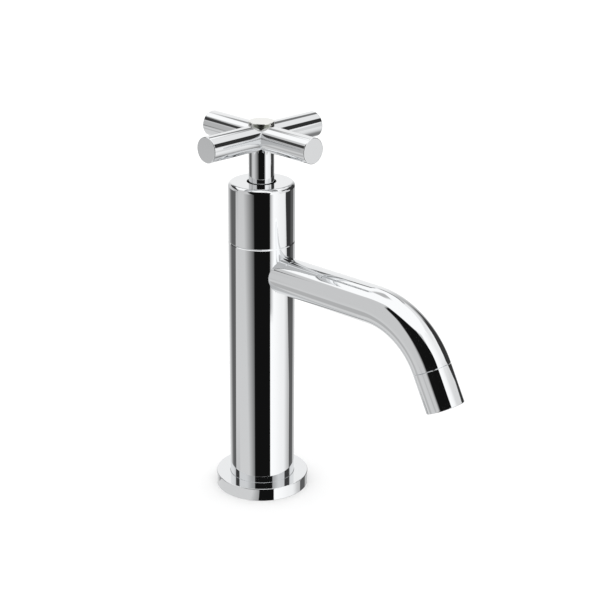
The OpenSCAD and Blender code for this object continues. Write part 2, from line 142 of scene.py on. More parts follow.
# Handle
ARM_R = 6.2
ARM_Z = CROSS_HIGH.z - ARM_R
ARM_LEN = 34.5
ARM_EDGE = 0.45
NECK_R = 6.12
RECESS_R = CAP_R + 0.02
CAP_SEAT = ARM_Z - 0.4
HUB_BORE_R = 4.2
HUB_WEB_Z = ARM_Z - 9.4
HUB_WEB = 2.0
SCREW_HOLE_R = 2.2
SPLINE_R = 3.98
SPLINE_DEPTH = 0.4
SPLINE_TEETH = 20
HANDLE_REST = math.radians(-2.5)
CAP_EDGE = 0.35
CAP_STEM_R = 4.0
CAP_STEM_LEN = 3.9
QUARTER_STEPS = 40

# Tail and the clamping parts below the deck
THREAD_R = 20.955 / 2
THREAD_DEPTH = 1.16
THREAD_PITCH = 1.814
THREAD_LEAD = 1.2
THREAD_TOP = -1.0
THREAD_FADE = 1.6
TAIL_BORE_R = 6.0
TAIL_PLUG_R = CHAMBER_R - 0.05
TAIL_BORE_EDGE = 0.4
TAIL_SHOULDER_Z = 0.2
TAIL_RING_Z = 13.5
WASHER_BORE_R = THREAD_R + 0.2
NUT_APOTHEM = 15.0
NUT_CHAMFER_IN = 1.6
NUT_CHAMFER_SLOPE = 1.1 / 1.8
NUT_BORE_R = THREAD_R + 0.03
NUT_STEPS = 10


# ---------- shells with exact normals

class Shell:
    """Faces with a normal at each corner, in millimetres, welded by place."""

    def __init__(self, place=None):
        self.place = place or Matrix.Identity(4)
        self.turn = self.place.to_3x3()
        self.points = []
        self.index = {}
        self.faces = []
        self.normals = []

    def corner(self, point):
        key = tuple(round(c, WELD_DIGITS) + 0.0 for c in point)
        if key not in self.index:
            self.index[key] = len(self.points)
            self.points.append(point)
        return self.index[key]

    def face(self, points, normals):
        """Adds a face that looks along its normals; corners that coincide become one."""
        corners = []
        for point, normal in zip(points, normals):
            i = self.corner(self.place @ Vector(point))
            if all(i != j for j, _ in corners):
                corners.append((i, self.turn @ Vector(normal)))
        if len(corners) < 3:
            return
        area = Vector((0, 0, 0))
        for (i, _), (j, _) in zip(corners, corners[1:] + corners[:1]):
            area += self.points[i].cross(self.points[j])
        if area.dot(sum((n for _, n in corners), Vector((0, 0, 0)))) < 0:
            corners.reverse()
        self.faces.append([i for i, _ in corners])
        self.normals += [n.normalized() for _, n in corners]

    def quad(self, *corners):
        self.face([c[0] for c in corners], [c[1] for c in corners])

    def strip(self, ring_a, ring_b):
        """Quads between two closed rings of (point, normal), in bands of a fair length."""
        steps = [
            (Vector(a), Vector(b) - Vector(a), Vector(n), Vector(m) - Vector(n))
            for (a, n), (b, m) in zip(ring_a, ring_b)
        ]
        bands = max(1, math.ceil(max(step[1].length for step in steps) / BAND))
        low = ring_a
        for band in range(1, bands + 1):
            share = band / bands
            high = [(a + ab * share, n + nm * share) for a, ab, n, nm in steps]
            if band == bands:
                high = ring_b
            for i in range(len(low)):
                j = (i + 1) % len(low)
                self.quad(low[i], low[j], high[j], high[i])
            low = high

    def piece(self, name, material, body, slot, *nodes):
        """Makes the mesh object, rides it on a body and hides the CAD nodes it stands in for."""
        mesh = bpy.data.meshes.new(name)
        mesh.from_pydata([p * MM for p in self.points], [], self.faces)
        mesh.polygons.foreach_set("use_smooth", [True] * len(self.faces))
        mesh.normals_split_custom_set(self.normals)
        mesh.materials.append(material)
        made = bpy.data.objects.new(name, mesh)
        bpy.context.scene.collection.objects.link(made)
        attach(made, body)
        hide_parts(*nodes)
        return made


def rounded(corners):
    """Stretches of a closed outline through (r, z, rounding) corners, material on the left.

    Each stretch is a list of (r, z, normal r, normal z); a straight one has two entries.
    """
    arcs = []
    for i, (r, z, size) in enumerate(corners):
        here = Vector((r, z))
        into = (here - Vector(corners[i - 1][:2])).normalized()
        away = (Vector(corners[(i + 1) % len(corners)][:2]) - here).normalized()
        turn = math.atan2(into.x * away.y - into.y * away.x, into.dot(away))
        side = 1 if turn > 0 else -1
        first = here - into * size * math.tan(abs(turn) / 2)
        normal = Vector((into.y, -into.x))
        centre = first - normal * size * side
        arc = []
        for step in range(ARC_STEPS + 1):
            facing = Matrix.Rotation(turn * step / ARC_STEPS, 2) @ normal
            spot = centre + facing * size * side
            arc.append((spot.x, spot.y, facing.x, facing.y))
        arcs.append(arc)
    stretches = []
    for i, arc in enumerate(arcs):
        if corners[i][2] > 0:
            stretches.append(arc)
        after = arcs[(i + 1) % len(arcs)]
        run = Vector((after[0][0] - arc[-1][0], after[0][1] - arc[-1][1]))
        if run.length > 10 ** -WELD_DIGITS:
            normal = (run.y / run.length, -run.x / run.length)
            stretches.append([(*arc[-1][:2], *normal), (*after[0][:2], *normal)])
    return stretches


def ring(r, z, nr, nz, segments):
    """A ring of (point, normal) about the local Z axis."""
    made = []
    for i in range(segments):
        a = 2 * math.pi * i / segments
        made.append((
            (r * math.cos(a), r * math.sin(a), z),
            (nr * math.cos(a), nr * math.sin(a), nz),
        ))
    return made


def lathe(shell, stretches, segments=SEGMENTS):
    """Turns the stretches of an outline about the local Z axis."""
    for stretch in stretches:
        rings = [ring(*sample, segments) for sample in stretch]
        for ring_a, ring_b in zip(rings, rings[1:]):
            shell.strip(ring_a, ring_b)


def without_wall(stretches, r, low, high):
    """The stretches without the straight wall at radius r from height low to high."""
    def is_wall(stretch):
        on_wall = all(abs(s[0] - r) < MM for s in stretch)
        ends = sorted((stretch[0][1], stretch[-1][1]))
        return on_wall and abs(ends[0] - low) < MM and abs(ends[1] - high) < MM
    return [s for s in stretches if not is_wall(s)]


def pierced(shell, r, side, hole_r, hole_z, half_height, half_columns, segments):
    """A band of a cylinder wall with a round hole through it towards -Y.

    side is 1 where the wall faces outwards and -1 where it faces the axis. Returns the
    hole's edge as a list of (x, y, z), the angle round the hole running from +X to +Z.
    """
    rows = 2 * half_columns
    front = segments * 3 // 4

    def spot(column, z):
        a = 2 * math.pi * (front + column) / segments
        facing = (side * math.cos(a), side * math.sin(a), 0)
        return (r * math.cos(a), r * math.sin(a), z), facing

    def level(row):
        return hole_z + half_height * (row / half_columns - 1)

    for column in range(half_columns, segments - half_columns):
        for row in range(rows):
            shell.quad(
                spot(column, level(row)), spot(column + 1, level(row)),
                spot(column + 1, level(row + 1)), spot(column, level(row + 1)),
            )
    border = [(half_columns, row) for row in range(half_columns, rows)]
    border += [(column, rows) for column in range(half_columns, -half_columns, -1)]
    border += [(-half_columns, row) for row in range(rows, 0, -1)]
    border += [(column, 0) for column in range(-half_columns, half_columns)]
    border += [(half_columns, row) for row in range(half_columns)]
    inner = []
    edge = []
    for k in range(len(border)):
        a = 2 * math.pi * k / len(border)
        x = hole_r * math.cos(a)
        z = hole_z + hole_r * math.sin(a)
        inner.append((math.asin(x / r) * segments / (2 * math.pi), z))
        edge.append((x, -math.sqrt(r * r - x * x), z))
    shares = [(s / half_columns) ** 1.5 for s in range(half_columns + 1)]
    rings = []
    for share in shares:
        rings.append([
            spot(c + (column - c) * share, z + (level(row) - z) * share)
            for (c, z), (column, row) in zip(inner, border)
        ])
    for ring_a, ring_b in zip(rings, rings[1:]):
        shell.strip(ring_a, ring_b)
    return edge


def bore_wall(shell, edge_a, edge_b, hole_z):
    """The wall of a round bore along Y between two of its edges."""
    def facing(p):
        return Vector((-p[0], 0, hole_z - p[2])).normalized()
    shell.strip([(p, facing(p)) for p in edge_a], [(p, facing(p)) for p in edge_b])


# ---------- node trees

class Tree:
    """Short calls for building a node tree."""

    def __init__(self, tree):
        self.nodes = tree.nodes
        self.links = tree.links
        self.nodes.clear()

    def put(self, socket, value):
        if isinstance(value, bpy.types.NodeSocket):
            self.links.new(value, socket)
        else:
            socket.default_value = value

    def add(self, kind, inputs=(), **settings):
        node = self.nodes.new(kind)
        for key, value in settings.items():
            setattr(node, key, value)
        for key, value in dict(inputs).items():
            self.put(node.inputs[key], value)
        return node

    def math(self, operation, a, b=0.0, c=0.0):
        node = self.add("ShaderNodeMath", operation=operation)
        for socket, value in zip(node.inputs, (a, b, c)):
            self.put(socket, value)
        return node.outputs[0]

    def remap(self, value, from_a, from_b, to_a, to_b, smooth=True):
        node = self.add("ShaderNodeMapRange", {
            "Value": value, "From Min": from_a, "From Max": from_b,
            "To Min": to_a, "To Max": to_b,
        }, interpolation_type="SMOOTHSTEP" if smooth else "LINEAR")
        return node.outputs[0]

    def noise(self, vector, scale, detail=2.0, roughness=0.5, distortion=0.0):
        node = self.add("ShaderNodeTexNoise", {
            "Vector": vector, "Scale": scale, "Detail": detail,
            "Roughness": roughness, "Distortion": distortion,
        })
        return node.outputs["Fac"]

    def blend(self, share, a, b):
        """Blends two colours."""
        node = self.add("ShaderNodeMix", data_type="RGBA")
        self.put(node.inputs["Factor"], share)
        for socket, value in zip([s for s in node.inputs if s.type == "RGBA"], (a, b)):
            self.put(socket, value)
        return [s for s in node.outputs if s.type == "RGBA"][0]


def grey(level):
    """Linear light of a display grey from 0 to 255."""
    share = level / 255
    return ((share + 0.055) / 1.055) ** 2.4 if share > 0.04045 else share / 12.92


def new_material(name):
    made = bpy.data.materials.new(name)
    made.use_nodes = True
    return made, Tree(made.node_tree)


def finish_material(tree, shader):
    tree.add("ShaderNodeOutputMaterial", {"Surface": shader.outputs[0]})


def finish_surface(tree, colour, metallic, roughness, normal):
    finish_material(tree, tree.add("ShaderNodeBsdfPrincipled", {
        "Base Color": colour, "Metallic": metallic, "Roughness": roughness, "Normal": normal,
    }))


def bump(tree, strength, distance, height):
    """A normal disturbed by a height, with its distance in metres."""
    return tree.add("ShaderNodeBump", {
        "Strength": strength, "Distance": distance, "Height": height,
    }).outputs[0]


def object_place(tree):
    return tree.add("ShaderNodeTexCoord").outputs["Object"]


def polish_marks(tree, place):
    """The faint smears of polished plating, and an even fainter ripple as a normal."""
    smears = tree.noise(place, 60.0, 4.0, 0.6, 1.2)
    return smears, bump(tree, 0.02, 0.0002, tree.noise(place, 140.0, 2.0))


def smeared(tree, smears, low, high):
    """Roughness from low to high with the smears."""
    return tree.remap(smears, 0.35, 0.75, low, high)


def plated(name, colour, low_roughness, high_roughness):
    """Polished plating."""
    made, tree = new_material(name)
    smears, normal = polish_marks(tree, object_place(tree))
    finish_surface(tree, colour, 1.0, smeared(tree, smears, low_roughness, high_roughness), normal)
    return made


def cap_plating():
    """Warm polished cap with painted shade on its rim: below the top edge and seen straight on, the
    rim takes a dark tint and a rougher gloss in place of a dark reflection; seen aslant it stays
    pale.
    """
    made, tree = new_material("cap_chrome")
    place = object_place(tree)
    height = tree.add("ShaderNodeSeparateXYZ", {"Vector": place}).outputs["Z"]
    aslant = tree.add("ShaderNodeLayerWeight", {"Blend": 0.5}).outputs["Facing"]
    # painted shade: the rim below the top edge, most where it faces the viewer, is tinted dark in
    # place of a dark reflection, and made rougher
    rim = tree.math("MULTIPLY", tree.math("LESS_THAN", height, (CAP_TOP - CAP_EDGE) * MM),
                    tree.remap(aslant, 0.16, 0.34, 1.0, 0.0))
    smears, normal = polish_marks(tree, place)
    polish = smeared(tree, smears, 0.03, 0.06)
    dull = smeared(tree, smears, 0.26, 0.34)
    gloss = tree.math("MULTIPLY_ADD", rim, tree.math("SUBTRACT", dull, polish), polish)
    # blends the rim's painted shade into the cap's warm tint
    finish_surface(tree, tree.blend(rim, CAP_TINT, CAP_RIM_PAINTED_SHADE), 1.0, gloss, normal)
    return made


def turned_metal(name, colour, dark, roughness):
    """Machined metal: fine rings about the Z axis, darker in places where it has dulled."""
    made, tree = new_material(name)
    place = object_place(tree)
    stretch = tree.add("ShaderNodeMapping", {"Vector": place, "Scale": (0.05, 0.05, 1.0)})
    rings = tree.noise(stretch.outputs[0], 2600.0, 3.0)
    dull = tree.noise(place, 90.0, 4.0, 0.6)
    tint = tree.blend(tree.remap(dull, 0.35, 0.75, 0.0, 1.0), colour, dark)
    gloss = tree.math("MULTIPLY_ADD", rings, 0.16, roughness - 0.08)
    finish_surface(tree, tint, 1.0, gloss, bump(tree, 0.25, 0.00005, rings))
    return made


def moulded(name, colour, dark, roughness, grain, depth):
    """Moulded rubber or plastic: a fine grain and slightly uneven colour."""
    made, tree = new_material(name)
    place = object_place(tree)
    grains = tree.noise(place, grain, 3.0, 0.6)
    uneven = tree.noise(place, 120.0, 3.0, 0.6)
    tint = tree.blend(tree.remap(uneven, 0.3, 0.7, 0.0, 1.0), colour, dark)
    gloss = tree.math("MULTIPLY_ADD", grains, 0.2, roughness - 0.1)
    finish_surface(tree, tint, 0.0, gloss, bump(tree, 0.4, depth, grains))
    return made


CHROME_TINT = (0.80, 0.81, 0.82, 1.0)
CAP_TINT = (0.82, 0.82, 0.79, 1.0)
# painted shade: the dark tint for the cap's rim stands in for a dark reflection, not a colour the
# cap has
CAP_RIM_PAINTED_SHADE = (0.27, 0.28, 0.24, 1.0)
CHROME = plated("polished_chrome", CHROME_TINT, 0.015, 0.035)
CAP_CHROME = cap_plating()
BRASS = turned_metal("machined_brass", (0.78, 0.60, 0.30, 1.0), (0.60, 0.42, 0.20, 1.0), 0.28)
STEEL = turned_metal("turned_steel", (0.62, 0.63, 0.65, 1.0), (0.46, 0.47, 0.49, 1.0), 0.30)
RUBBER = moulded("black_rubber", (0.022, 0.022, 0.024, 1), (0.035, 0.035, 0.037, 1),
                 0.62, 5200.0, 0.00006)
CERAMIC = moulded("lapped_ceramic", (0.88, 0.86, 0.80, 1), (0.82, 0.80, 0.74, 1),
                  0.18, 9000.0, 0.000004)
NYLON = moulded("natural_nylon", (0.84, 0.84, 0.81, 1), (0.76, 0.76, 0.73, 1),
                0.42, 4200.0, 0.00003)
SLOT_MATERIALS = {
    "chrome": CHROME, "cap_chrome": CAP_CHROME, "brass": BRASS, "stainless_steel": STEEL,
    "rubber": RUBBER, "ceramic": CERAMIC, "nylon": NYLON,
}


# ---------- pieces of the tap

def base_flange():
    shell = Shell()
    lathe(shell, rounded([
        (LEDGE_R, 0, FINE_EDGE),
        (GASKET_IN_R, 0, FINE_EDGE),
        (GASKET_IN_R, GASKET_HIGH.z, 0),
        (GASKET_OUT_R, GASKET_HIGH.z, 0),
        (GASKET_OUT_R, 0, FINE_EDGE),
        (FLANGE_R, 0, FINE_EDGE),
        (FLANGE_R, FLANGE_TOP, FLANGE_EDGE),
        (LEDGE_BORE_R, FLANGE_TOP, FINE_EDGE),
        (LEDGE_BORE_R, LEDGE_Z, 0),
        (LEDGE_R, LEDGE_Z, FINE_EDGE),
    ]))
    shell.piece("flange_shell", CHROME, "tap_body", "chrome", "base_flange")


def base_gasket():
    shell = Shell()
    in_r = GASKET_IN_R + 0.05
    out_r = GASKET_HIGH.x
    lathe(shell, rounded([
        (in_r, GASKET_LOW.z, FINE_EDGE),
        (out_r, GASKET_LOW.z, FINE_EDGE),
        (out_r, GASKET_HIGH.z, FINE_EDGE),
        (in_r, GASKET_HIGH.z, FINE_EDGE),
    ]))
    shell.piece("flange_gasket", RUBBER, "tap_body", "rubber", "base_gasket")


def column():
    """Column with its two chambers, its seat, its ring groove and the spout's port."""
    outer_half, inner_half = 12.0, 9.0
    columns = SEGMENTS // 8
    groove_low = RING_GROOVE_Z - RING_GROOVE_HALF
    groove_high = RING_GROOVE_Z + RING_GROOVE_HALF
    groove_r = SPIGOT_R - RING_GROOVE_DEPTH
    shell = Shell()
    outline = rounded([
        (SEAT_BORE_R, SEAT_Z - SEAT_WEB, 0),
        (CHAMBER_R, SEAT_Z - SEAT_WEB, 0),
        (CHAMBER_R, LEDGE_Z, FINE_EDGE),
        (COLUMN_R, LEDGE_Z, FINE_EDGE),
        (COLUMN_R, SPOUT_Z - outer_half, 0),
        (COLUMN_R, SPOUT_Z + outer_half, 0),
        (COLUMN_R, SEAM_Z - SEAM_CHAMFER, 0),
        (COLUMN_R - SEAM_CHAMFER, SEAM_Z, 0),
        (SPIGOT_R, SEAM_Z, 0),
        (SPIGOT_R, groove_low, 0),
        (groove_r, groove_low, 0),
        (groove_r, groove_high, 0),
        (SPIGOT_R, groove_high, 0),
        (SPIGOT_R, SPIGOT_TOP, FINE_EDGE),
        (HEADWORK_BORE_R, SPIGOT_TOP, FINE_EDGE),
        (HEADWORK_BORE_R, UPPER_CHAMBER_TOP, 0),
        (UPPER_CHAMBER_R, UPPER_CHAMBER_TOP, 0),
        (UPPER_CHAMBER_R, SPOUT_Z + inner_half, 0),
        (UPPER_CHAMBER_R, SPOUT_Z - inner_half, 0),
        (UPPER_CHAMBER_R, SEAT_Z, 0),
        (SEAT_BORE_R, SEAT_Z, FINE_EDGE),
    ])
    outline = without_wall(outline, COLUMN_R, SPOUT_Z - outer_half, SPOUT_Z + outer_half)
    outline = without_wall(
        outline, UPPER_CHAMBER_R, SPOUT_Z - inner_half, SPOUT_Z + inner_half
    )
    lathe(shell, outline)
    port = pierced(shell, COLUMN_R, 1, PORT_R, SPOUT_Z, outer_half, columns, SEGMENTS)
    nipple_port = pierced(
        shell, UPPER_CHAMBER_R, -1, NIPPLE_HOLE_R, SPOUT_Z, inner_half, columns, SEGMENTS
    )
    port_floor = [(x, -PORT_Y, z) for x, _, z in port]
    nipple_floor = [(x, -PORT_Y, z) for x, _, z in nipple_port]
    bore_wall(shell, port, port_floor, SPOUT_Z)
    bore_wall(shell, nipple_floor, nipple_port, SPOUT_Z)
    out = (0, -1, 0)
    shell.strip([(p, out) for p in port_floor], [(p, out) for p in nipple_floor])
    shell.piece("column_shell", CHROME, "tap_body", "chrome", "body")


def bonnet():
    shell = Shell()
    lathe(shell, rounded([
        (BONNET_BORE_R, SEAM_Z, FINE_EDGE),
        (COLUMN_R - SEAM_CHAMFER, SEAM_Z, 0),
        (COLUMN_R, SEAM_Z + SEAM_CHAMFER, 0),
        (COLUMN_R, BONNET_TOP, BONNET_EDGE),
        (BONNET_HOLE_R, BONNET_TOP, FINE_EDGE),
        (BONNET_HOLE_R, BONNET_TOP - BONNET_PLATE, FINE_EDGE),
        (BONNET_BORE_R, BONNET_TOP - BONNET_PLATE, BONNET_FILLET),
    ]))
    shell.piece("bonnet_shell", CHROME, "tap_body", "chrome", "bonnet")


def spout_tube():
    """Bent tube with a hole for the grub screw in its underside."""
    segments = TUBE_SEGMENTS
    shell = Shell(Matrix.Translation((0, 0, SPOUT_Z)) @ Matrix.Rotation(QUARTER, 4, "X"))
    columns = segments // 16
    half = SPOUT_R * math.sin(2 * math.pi * columns / segments)
    edges = []
    for r, side in ((SPOUT_R, 1), (SPOUT_BORE_R, -1)):
        edges.append(pierced(shell, r, side, GRUB_HOLE_R, GRUB_Y, half, columns, segments))
        for low, high in ((PORT_Y, GRUB_Y - half), (GRUB_Y + half, SPOUT_RUN)):
            shell.strip(ring(r, low, side, 0, segments), ring(r, high, side, 0, segments))
    bore_wall(shell, edges[0], edges[1], GRUB_Y)
    shell.strip(
        ring(SPOUT_R, PORT_Y, 0, -1, segments), ring(SPOUT_BORE_R, PORT_Y, 0, -1, segments)
    )

    def bend_ring(r, side, step):
        a = BEND_ANGLE * step / BEND_STEPS
        turn = Matrix.Translation((0, -BEND_R, SPOUT_RUN))
        turn = turn @ Matrix.Rotation(a, 4, "X") @ Matrix.Translation((0, BEND_R, 0))
        spin = turn.to_3x3()
        made = []
        for point, facing in ring(r, 0, side, 0, segments):
            made.append((turn @ Vector(point), spin @ Vector(facing)))
        return made

    for r, side in ((SPOUT_R, 1), (SPOUT_BORE_R, -1)):
        for step in range(BEND_STEPS):
            shell.strip(bend_ring(r, side, step), bend_ring(r, side, step + 1))
    rim = Matrix.Rotation(BEND_ANGLE, 3, "X") @ Vector((0, 0, 1))
    outer = [(p, rim) for p, _ in bend_ring(SPOUT_R, 1, BEND_STEPS)]
    inner = [(p, rim) for p, _ in bend_ring(SPOUT_BORE_R, 1, BEND_STEPS)]
    shell.strip(outer, inner)
    shell.piece("spout_shell", CHROME, "tap_body", "chrome", "spout_tube")


def outlet_place():
    """Local +Z runs out of the spout, from the seam above the collar."""
    y = SPOUT_RUN + BEND_R * math.sin(BEND_ANGLE)
    z = SPOUT_Z - BEND_R * (1 - math.cos(BEND_ANGLE))
    turn = Matrix.Rotation(QUARTER + BEND_ANGLE, 4, "X")
    return Matrix.Translation((0, -y, z)) @ turn


def outlet_collar():
    shell = Shell(outlet_place())
    lathe(shell, rounded([
        (COLLAR_INLET_R, -COLLAR_SPIGOT, FINE_EDGE),
        (COLLAR_SPIGOT_R, -COLLAR_SPIGOT, FINE_EDGE),
        (COLLAR_SPIGOT_R, 0, 0),
        (SPOUT_R - SEAM_CHAMFER, 0, 0),
        (SPOUT_R, SEAM_CHAMFER, 0),
        (SPOUT_R, COLLAR_LEN, COLLAR_EDGE),
        (COLLAR_BORE_R, COLLAR_LEN, COLLAR_EDGE),
        (COLLAR_BORE_R, COLLAR_SHELF, 0),
        (COLLAR_INLET_R, COLLAR_SHELF, FINE_EDGE),
    ]), TUBE_SEGMENTS)
    shell.piece("outlet_collar", CHROME, "tap_body", "chrome", "aerator_housing")


def cross_handle():
    """Four arms that meet in mitres, a neck with a splined bore, and the cap's recess."""
    shell = Shell(Matrix.Rotation(HANDLE_REST, 4, "Z"))

    def hub_ring(r, z, facing):
        """A ring about the hub; r, z and facing are values or functions of the angle."""
        made = []
        for i in range(4 * QUARTER_STEPS):
            a = QUARTER * i / QUARTER_STEPS
            radius = r(a) if callable(r) else r
            height = z(a) if callable(z) else z
            out, up = facing
            made.append((
                (radius * math.cos(a), radius * math.sin(a), height),
                (out * math.cos(a), out * math.sin(a), up),
            ))
        return made

    def saddle(sign, radius):
        """Height at which a hub cylinder meets the arms, above or below their axis."""
        def height(a):
            across = radius * math.sin((a + QUARTER / 2) % QUARTER - QUARTER / 2)
            return ARM_Z + sign * math.sqrt(ARM_R ** 2 - across ** 2)
        return height

    def spline(a):
        tooth = a / math.pi * SPLINE_TEETH
        return SPLINE_R - SPLINE_DEPTH * (1 - abs(tooth % 2 - 1))

    inward, outward, up, down = (-1, 0), (1, 0), (0, 1), (0, -1)
    web_top = HUB_WEB_Z + HUB_WEB
    for (r_a, z_a), (r_b, z_b), facing in (
        ((RECESS_R, saddle(1, RECESS_R)), (RECESS_R, CAP_SEAT), inward),
        ((RECESS_R, CAP_SEAT), (HUB_BORE_R, CAP_SEAT), up),
        ((HUB_BORE_R, CAP_SEAT), (HUB_BORE_R, web_top), inward),
        ((HUB_BORE_R, web_top), (SCREW_HOLE_R, web_top), up),
        ((SCREW_HOLE_R, web_top), (SCREW_HOLE_R, HUB_WEB_Z), inward),
        ((SCREW_HOLE_R, HUB_WEB_Z), (spline, HUB_WEB_Z), down),
        ((spline, HUB_WEB_Z), (spline, NECK_FOOT), inward),
        ((spline, NECK_FOOT), (NECK_R - FINE_EDGE, NECK_FOOT), down),
        ((NECK_R - FINE_EDGE, NECK_FOOT), (NECK_R, NECK_FOOT + FINE_EDGE), (1, -1)),
        ((NECK_R, NECK_FOOT + FINE_EDGE), (NECK_R, saddle(-1, NECK_R)), outward),
    ):
        shell.strip(hub_ring(r_a, z_a, facing), hub_ring(r_b, z_b, facing))

    half = QUARTER_STEPS // 2
    hub = [
        math.asin(NECK_R * math.sin(QUARTER * i / QUARTER_STEPS) / ARM_R)
        for i in range(-half, half + 1)
    ]
    limit = hub[-1]
    flank = [limit + (math.pi - 2 * limit) * i / QUARTER_STEPS for i in range(1, QUARTER_STEPS)]
    rounds = hub + flank + [math.pi - a for a in reversed(hub)] + [math.pi + a for a in flank]
    for arm in range(4):
        spin = Matrix.Rotation(QUARTER * arm, 3, "Z")

        def arm_ring(reach, r, out, along):
            made = []
            for a in rounds:
                across, rise = math.sin(a), math.cos(a)
                x = reach(a) if callable(reach) else reach
                point = spin @ Vector((x, r * across, r * rise)) + Vector((0, 0, ARM_Z))
                made.append((point, spin @ Vector((along, out * across, out * rise))))
            return made

        def root(a):
            across = abs(ARM_R * math.sin(a))
            return max(across, math.sqrt(max(NECK_R ** 2 - across ** 2, 0)))

        shell.strip(arm_ring(root, ARM_R, 1, 0), arm_ring(ARM_LEN - ARM_EDGE, ARM_R, 1, 0))
        arc = []
        for step in range(ARC_STEPS + 1):
            a = QUARTER * step / ARC_STEPS
            r = ARM_R - ARM_EDGE * (1 - math.cos(a))
            x = ARM_LEN - ARM_EDGE * (1 - math.sin(a))
            arc.append(arm_ring(x, r, math.cos(a), math.sin(a)))
        for ring_a, ring_b in zip(arc, arc[1:]):
            shell.strip(ring_a, ring_b)
        shell.strip(arm_ring(ARM_LEN, ARM_R - ARM_EDGE, 0, 1), arm_ring(ARM_LEN, 0, 0, 1))
    shell.piece("cross_shell", CHROME, "handle", "chrome", "cross_handle")


def index_cap():
    groove_half, groove_depth = 0.8, 0.8
    groove_low = CAP_SEAT - CAP_STEM_LEN / 2 - groove_half
    groove_high = groove_low + 2 * groove_half
    shell = Shell()
    lathe(shell, rounded([
        (0, CAP_LOW.z, 0),
        (CAP_STEM_R, CAP_LOW.z, FINE_EDGE),
        (CAP_STEM_R, groove_low, 0),
        (CAP_STEM_R - groove_depth, groove_low, 0),
        (CAP_STEM_R - groove_depth, groove_high, 0),
        (CAP_STEM_R, groove_high, 0),
        (CAP_STEM_R, CAP_SEAT, 0),
        (CAP_R, CAP_SEAT, FINE_EDGE),
        (CAP_R, CAP_TOP, CAP_EDGE),
        (0, CAP_TOP, 0),
    ]))
    shell.piece("index_plug", CAP_CHROME, "handle", "cap_chrome", "index_cap")


def thread(shell, low, high, segments):
    """A helical male thread from height low to high that fades to its root at both ends."""
    samples = 12
    step = 0.001
    half_depth = THREAD_DEPTH / 2

    def radius(a, z):
        wave = math.cos(2 * math.pi * z / THREAD_PITCH - a)
        share = min(max(min(z - low, high - z) / THREAD_FADE, 0), 1)
        share = share * share * (3 - 2 * share)
        return THREAD_R - THREAD_DEPTH + share * half_depth * (wave + 1)

    def spot(a, z):
        r = radius(a, z)
        slope_z = (radius(a, min(z + step, high)) - radius(a, max(z - step, low))) / (2 * step)
        slope_a = (radius(a + step, z) - radius(a - step, z)) / (2 * step * r)
        out = Vector((math.cos(a), math.sin(a), 0))
        round_about = Vector((-math.sin(a), math.cos(a), 0))
        facing = out - round_about * slope_a - Vector((0, 0, slope_z))
        return out * r + Vector((0, 0, z)), facing

    rows = math.ceil((high - low) / THREAD_PITCH + 1) * samples
    for i in range(segments):
        column = []
        for j in (i, i + 1):
            a = 2 * math.pi * (j % segments) / segments
            shift = j / segments - 1
            heights = [
                min(max(low + (row / samples + shift) * THREAD_PITCH, low), high)
                for row in range(rows + 1)
            ]
            column.append([spot(a, z) for z in heights])
        near, far = column
        for row in range(rows):
            shell.quad(near[row], near[row + 1], far[row + 1], far[row])


def inlet_tail():
    """Tail with its plug, shoulder and one long helical thread."""
    shell = Shell()
    root_r = THREAD_R - THREAD_DEPTH
    thread_low = TAIL_LOW.z + THREAD_LEAD
    groove_half, groove_depth = 0.9, 1.16
    groove_low, groove_high = TAIL_RING_Z - groove_half, TAIL_RING_Z + groove_half
    outline = rounded([
        (TAIL_BORE_R, TAIL_LOW.z, TAIL_BORE_EDGE),
        (root_r, TAIL_LOW.z, FINE_EDGE),
        (root_r, thread_low, 0),
        (root_r, THREAD_TOP, 0),
        (root_r, TAIL_SHOULDER_Z, 0),
        (TAIL_SHOULDER_R, TAIL_SHOULDER_Z, 0),
        (TAIL_SHOULDER_R, LEDGE_Z, 0),
        (TAIL_PLUG_R, LEDGE_Z, 0),
        (TAIL_PLUG_R, groove_low, 0),
        (TAIL_PLUG_R - groove_depth, groove_low, 0),
        (TAIL_PLUG_R - groove_depth, groove_high, 0),
        (TAIL_PLUG_R, groove_high, 0),
        (TAIL_PLUG_R, TAIL_HIGH.z, FINE_EDGE),
        (TAIL_BORE_R, TAIL_HIGH.z, TAIL_BORE_EDGE),
    ])
    lathe(shell, without_wall(outline, root_r, thread_low, THREAD_TOP), TUBE_SEGMENTS)
    thread(shell, thread_low, THREAD_TOP, TUBE_SEGMENTS)
    shell.piece("tail_shell", BRASS, "tap_body", "brass", "inlet_tail")


def flat_washer(name, node, material, slot, edge):
    low, high = box_mm(node)
    shell = Shell()
    lathe(shell, rounded([
        (WASHER_BORE_R, low.z, edge),
        (high.x, low.z, edge),
        (high.x, high.z, edge),
        (WASHER_BORE_R, high.z, edge),
    ]))
    shell.piece(name, material, "tap_body", slot, node)


